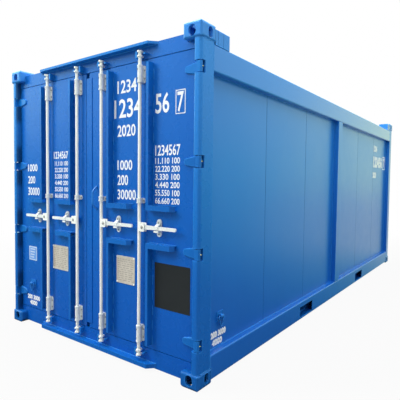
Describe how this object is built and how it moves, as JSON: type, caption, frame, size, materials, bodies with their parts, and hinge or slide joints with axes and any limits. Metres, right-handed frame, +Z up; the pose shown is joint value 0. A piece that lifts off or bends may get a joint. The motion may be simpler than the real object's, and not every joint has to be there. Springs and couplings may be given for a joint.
{
  "type": "shipping container",
  "caption": "Steel freight container with flat plated sides, corner fittings, fork pockets and a pair of end doors held by turning locking bars with lift handles.",
  "frame": {"origin": "middle of the footprint, on the ground plane under the corner fittings", "axes": "+Z up, +Y from the door end to the closed end, +X to the right as seen facing the doors"},
  "size_m": [2.438, 6.058, 2.591],
  "materials": {
    "blue_paint": "gloss enamel over steel",
    "zinc_steel": "galvanised, dull",
    "seal_rubber": "matt",
    "floor_board": "sealed plywood"
  },
  "bodies": {
    "container": {"top_corner_fittings": "blue_paint", "bottom_corner_fittings": "blue_paint", "top_corner_blocks": "blue_paint", "door_posts": "blue_paint", "end_posts": "blue_paint", "hinge_pins": "blue_paint", "door_header": "blue_paint", "door_sill": "blue_paint", "door_lips": "blue_paint", "end_beams": "blue_paint", "end_wall": "blue_paint", "top_side_rails": "blue_paint", "bottom_side_rails": "blue_paint", "mid_posts": "blue_paint", "side_panels": "blue_paint", "roof": "blue_paint", "roof_bows": "blue_paint", "floor": "floor_board", "cross_members": "blue_paint", "fork_tunnels": "blue_paint", "cam_keepers": "blue_paint", "wall_tag_eyes": "blue_paint"},
    "right_door": {"right_door_leaf": "blue_paint", "right_door_gasket": "seal_rubber", "right_door_guards": "blue_paint", "right_hinge_blades": "blue_paint", "right_bar_guides": "zinc_steel", "right_handle_catches": "zinc_steel", "centre_cover_strip": "blue_paint", "grab_bar": "blue_paint"},
    "left_door": {"left_door_leaf": "blue_paint", "left_door_gasket": "seal_rubber", "left_door_guards": "blue_paint", "left_hinge_blades": "blue_paint", "left_bar_guides": "zinc_steel", "left_handle_catches": "zinc_steel", "door_tag_eye": "blue_paint"},
    "right_inner_bar": {"right_inner_locking_bar": "zinc_steel"},
    "right_inner_grip": {"right_inner_handle": "zinc_steel"},
    "right_outer_bar": {"right_outer_locking_bar": "zinc_steel"},
    "right_outer_grip": {"right_outer_handle": "zinc_steel"},
    "left_inner_bar": {"left_inner_locking_bar": "zinc_steel"},
    "left_inner_grip": {"left_inner_handle": "zinc_steel"},
    "left_outer_bar": {"left_outer_locking_bar": "zinc_steel"},
    "left_outer_grip": {"left_outer_handle": "zinc_steel"}
  },
  "joints": [
    {"name": "right_door_swing", "type": "hinge", "parent": "container", "child": "right_door", "pos_m": [1.196, -3.003, 1.3], "axis": [0, 0, -1], "range_deg": [-264, 0]},
    {"name": "right_inner_bar_turn", "type": "hinge", "parent": "right_door", "child": "right_inner_bar", "pos_m": [0.16456, -3.004, 1.13], "axis": [0, 0, -1], "range_deg": [0, 90]},
    {"name": "right_inner_grip_lift", "type": "hinge", "parent": "right_inner_bar", "child": "right_inner_grip", "pos_m": [0.20456, -3.004, 1.13], "axis": [0, -1, 0], "range_deg": [0, 18]},
    {"name": "right_outer_bar_turn", "type": "hinge", "parent": "right_door", "child": "right_outer_bar", "pos_m": [0.61681, -3.004, 1.13], "axis": [0, 0, -1], "range_deg": [0, 90]},
    {"name": "right_outer_grip_lift", "type": "hinge", "parent": "right_outer_bar", "child": "right_outer_grip", "pos_m": [0.65681, -3.004, 1.13], "axis": [0, -1, 0], "range_deg": [0, 18]},
    {"name": "left_door_swing", "type": "hinge", "parent": "container", "child": "left_door", "pos_m": [-1.196, -3.003, 1.3], "axis": [0, 0, 1], "range_deg": [-264, 0]},
    {"name": "left_inner_bar_turn", "type": "hinge", "parent": "left_door", "child": "left_inner_bar", "pos_m": [-0.16456, -3.004, 1.13], "axis": [0, 0, 1], "range_deg": [0, 90]},
    {"name": "left_inner_grip_lift", "type": "hinge", "parent": "left_inner_bar", "child": "left_inner_grip", "pos_m": [-0.20456, -3.004, 1.13], "axis": [0, 1, 0], "range_deg": [0, 18]},
    {"name": "left_outer_bar_turn", "type": "hinge", "parent": "left_door", "child": "left_outer_bar", "pos_m": [-0.61681, -3.004, 1.13], "axis": [0, 0, 1], "range_deg": [0, 90]},
    {"name": "left_outer_grip_lift", "type": "hinge", "parent": "left_outer_bar", "child": "left_outer_grip", "pos_m": [-0.65681, -3.004, 1.13], "axis": [0, 1, 0], "range_deg": [0, 18]}
  ]
}
